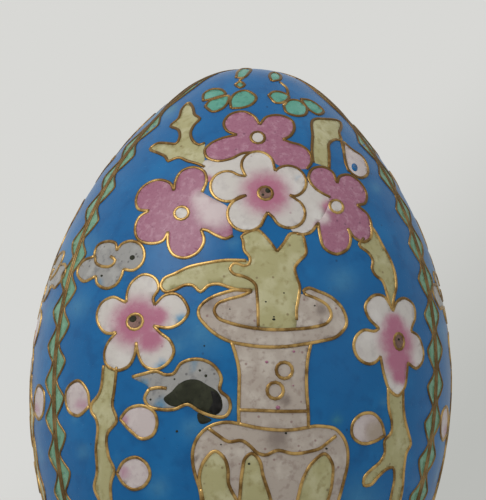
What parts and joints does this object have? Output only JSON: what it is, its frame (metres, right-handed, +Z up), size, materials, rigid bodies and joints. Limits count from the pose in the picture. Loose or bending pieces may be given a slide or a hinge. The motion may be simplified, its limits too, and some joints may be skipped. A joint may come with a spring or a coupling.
{
  "type": "decorative egg",
  "caption": "Egg in cloisonne enamel on a copper shell, narrow end up, drawn with wire vases and plum branches, standing on a flat ring.",
  "frame": {"origin": "centre of the foot ring's face, at the bottom", "axes": "+Z up through the tip of the egg, the first panel faces -Y"},
  "size_m": [0.045, 0.045, 0.0635],
  "materials": {
    "copper": "spun copper, dull",
    "gilt": "gilt, polished",
    "wire": "gilt copper ribbon, worn on its edge",
    "blue_enamel": "fired enamel, mottled blue",
    "green_enamel": "fired enamel, sea green",
    "cream_enamel": "fired enamel, lilac cream",
    "straw_enamel": "fired enamel, straw green",
    "white_enamel": "fired enamel, white running into pink",
    "pink_enamel": "fired enamel, mottled magenta",
    "grey_enamel": "fired enamel, speckled grey"
  },
  "bodies": {
    "root": {"upper_cup": "copper", "lower_cup": "copper", "waist_sleeve": "copper", "foot_ring": "gilt", "foot_plate": "gilt", "front_ground": "blue_enamel", "front_frame_wire": "wire", "front_scallop_wires": "wire", "front_scallop_enamel": "green_enamel", "front_vase_wires": "wire", "front_vase_enamel": "cream_enamel", "front_branch_wires": "wire", "front_branch_enamel": "straw_enamel", "front_white_blossom_wires": "wire", "front_white_blossom_enamel": "white_enamel", "front_pink_blossom_wires": "wire", "front_pink_blossom_enamel": "pink_enamel", "front_bud_wires": "wire", "front_bud_enamel": "white_enamel", "front_leaf_wires": "wire", "front_leaf_enamel": "green_enamel", "front_cloud_wires": "wire", "front_cloud_enamel": "grey_enamel", "right_ground": "blue_enamel", "right_frame_wire": "wire", "right_scallop_wires": "wire", "right_scallop_enamel": "green_enamel", "right_vase_wires": "wire", "right_vase_enamel": "cream_enamel", "right_branch_wires": "wire", "right_branch_enamel": "straw_enamel", "right_white_blossom_wires": "wire", "right_white_blossom_enamel": "white_enamel", "right_pink_blossom_wires": "wire", "right_pink_blossom_enamel": "pink_enamel", "right_bud_wires": "wire", "right_bud_enamel": "white_enamel", "right_leaf_wires": "wire", "right_leaf_enamel": "green_enamel", "right_cloud_wires": "wire", "right_cloud_enamel": "grey_enamel", "left_ground": "blue_enamel", "left_frame_wire": "wire", "left_scallop_wires": "wire", "left_scallop_enamel": "green_enamel", "left_vase_wires": "wire", "left_vase_enamel": "cream_enamel", "left_branch_wires": "wire", "left_branch_enamel": "straw_enamel", "left_white_blossom_wires": "wire", "left_white_blossom_enamel": "white_enamel", "left_pink_blossom_wires": "wire", "left_pink_blossom_enamel": "pink_enamel", "left_bud_wires": "wire", "left_bud_enamel": "white_enamel", "left_leaf_wires": "wire", "left_leaf_enamel": "green_enamel", "left_cloud_wires": "wire", "left_cloud_enamel": "grey_enamel"}
  },
  "joints": []
}
